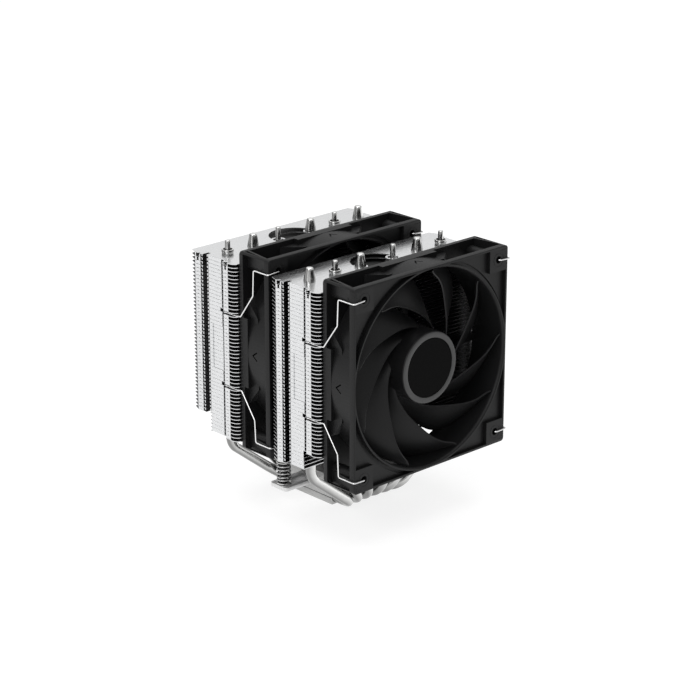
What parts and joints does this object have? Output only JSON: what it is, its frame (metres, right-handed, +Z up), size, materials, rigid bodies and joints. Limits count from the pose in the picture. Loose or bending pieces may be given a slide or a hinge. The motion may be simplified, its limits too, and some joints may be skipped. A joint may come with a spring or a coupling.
{
  "type": "cpu tower cooler",
  "caption": "Twin tower air cooler for a computer processor, with finned heat pipe stacks, black case fans held by wire clips, and a sprung mounting bar.",
  "frame": {"origin": "centre of the contact face under the base plate", "axes": "+Z up from the processor along the towers, -Y the way the front fan faces, +X to the right seen from the front"},
  "size_m": [0.1304, 0.1368, 0.157],
  "materials": {
    "fin_aluminium": "bright satin sheet",
    "pipe_nickel": "satin nickel plate",
    "base_nickel": "satin nickel plate",
    "base_aluminium": "milled",
    "bar_steel": "satin plated",
    "screw_steel": "bright plated",
    "spring_steel": "bright wire",
    "clip_wire": "bright wire",
    "fan_plastic": "fine matte moulded",
    "disc_film": "gloss film",
    "magnet_rubber": "matte",
    "bearing_brass": "sintered",
    "winding_copper": "enamelled wire",
    "board_green": "solder mask"
  },
  "bodies": {
    "root": {"fin_stack_front": "fin_aluminium", "fin_stack_rear": "fin_aluminium", "heat_pipe_1": "pipe_nickel", "heat_pipe_2": "pipe_nickel", "heat_pipe_3": "pipe_nickel", "heat_pipe_4": "pipe_nickel", "heat_pipe_5": "pipe_nickel", "heat_pipe_6": "pipe_nickel", "base_plate": "base_nickel", "base_cover": "base_aluminium", "crossbar": "bar_steel", "crossbar_screw_left": "screw_steel", "crossbar_screw_right": "screw_steel", "spring_seat_left": "screw_steel", "spring_seat_right": "screw_steel", "front_fan_frame": "fan_plastic", "front_fan_bearing": "bearing_brass", "front_fan_stator": "winding_copper", "front_fan_circuit_board": "board_green", "rear_fan_frame": "fan_plastic", "rear_fan_bearing": "bearing_brass", "rear_fan_stator": "winding_copper", "rear_fan_circuit_board": "board_green"},
    "front_rotor": {"front_fan_impeller": "fan_plastic", "front_fan_hub_disc": "disc_film", "front_fan_yoke": "screw_steel", "front_fan_magnet": "magnet_rubber", "front_fan_shaft": "screw_steel", "front_fan_shaft_clip": "screw_steel"},
    "rear_rotor": {"rear_fan_impeller": "fan_plastic", "rear_fan_hub_disc": "disc_film", "rear_fan_yoke": "screw_steel", "rear_fan_magnet": "magnet_rubber", "rear_fan_shaft": "screw_steel", "rear_fan_shaft_clip": "screw_steel"},
    "spring_washer_left": {"spring_washer_left": "screw_steel", "screw_spring_left": "spring_steel"},
    "spring_screw_left": {"spring_screw_left": "screw_steel", "screw_clip_left": "screw_steel"},
    "spring_washer_right": {"spring_washer_right": "screw_steel", "screw_spring_right": "spring_steel"},
    "spring_screw_right": {"spring_screw_right": "screw_steel", "screw_clip_right": "screw_steel"},
    "clip_front_left": {"fan_clip_front_left": "clip_wire"},
    "clip_front_right": {"fan_clip_front_right": "clip_wire"},
    "clip_rear_left": {"fan_clip_rear_left": "clip_wire"},
    "clip_rear_right": {"fan_clip_rear_right": "clip_wire"}
  },
  "joints": [
    {"name": "front_fan_spin", "type": "hinge", "parent": "root", "child": "front_rotor", "pos_m": [0, -0.0678, 0.0968], "axis": [0, 1, 0], "continuous": true},
    {"name": "rear_fan_spin", "type": "hinge", "parent": "root", "child": "rear_rotor", "pos_m": [0, 0.0022, 0.0968], "axis": [0, 1, 0], "continuous": true},
    {"name": "spring_press_left", "type": "slide", "parent": "root", "child": "spring_washer_left", "axis": [0, 0, 1], "range_m": [-0.006, 0], "stiffness_N_per_m": 2000, "springref_m": 0.003, "deforming": ["screw_spring_left"]},
    {"name": "screw_turn_left", "type": "hinge", "parent": "spring_washer_left", "child": "spring_screw_left", "pos_m": [-0.041, 0, 0.0276], "axis": [0, 0, 1], "continuous": true},
    {"name": "spring_press_right", "type": "slide", "parent": "root", "child": "spring_washer_right", "axis": [0, 0, 1], "range_m": [-0.006, 0], "stiffness_N_per_m": 2000, "springref_m": 0.003, "deforming": ["screw_spring_right"]},
    {"name": "screw_turn_right", "type": "hinge", "parent": "spring_washer_right", "child": "spring_screw_right", "pos_m": [0.041, 0, 0.0276], "axis": [0, 0, 1], "continuous": true},
    {"name": "clip_swing_front_left", "type": "hinge", "parent": "root", "child": "clip_front_left", "pos_m": [-0.0525, -0.08125, 0.0968], "axis": [0, 0, 1], "range_deg": [0, 15]},
    {"name": "clip_swing_front_right", "type": "hinge", "parent": "root", "child": "clip_front_right", "pos_m": [0.0525, -0.08125, 0.0968], "axis": [0, 0, -1], "range_deg": [0, 15]},
    {"name": "clip_swing_rear_left", "type": "hinge", "parent": "root", "child": "clip_rear_left", "pos_m": [-0.0525, -0.01125, 0.0968], "axis": [0, 0, 1], "range_deg": [0, 15]},
    {"name": "clip_swing_rear_right", "type": "hinge", "parent": "root", "child": "clip_rear_right", "pos_m": [0.0525, -0.01125, 0.0968], "axis": [0, 0, -1], "range_deg": [0, 15]}
  ]
}
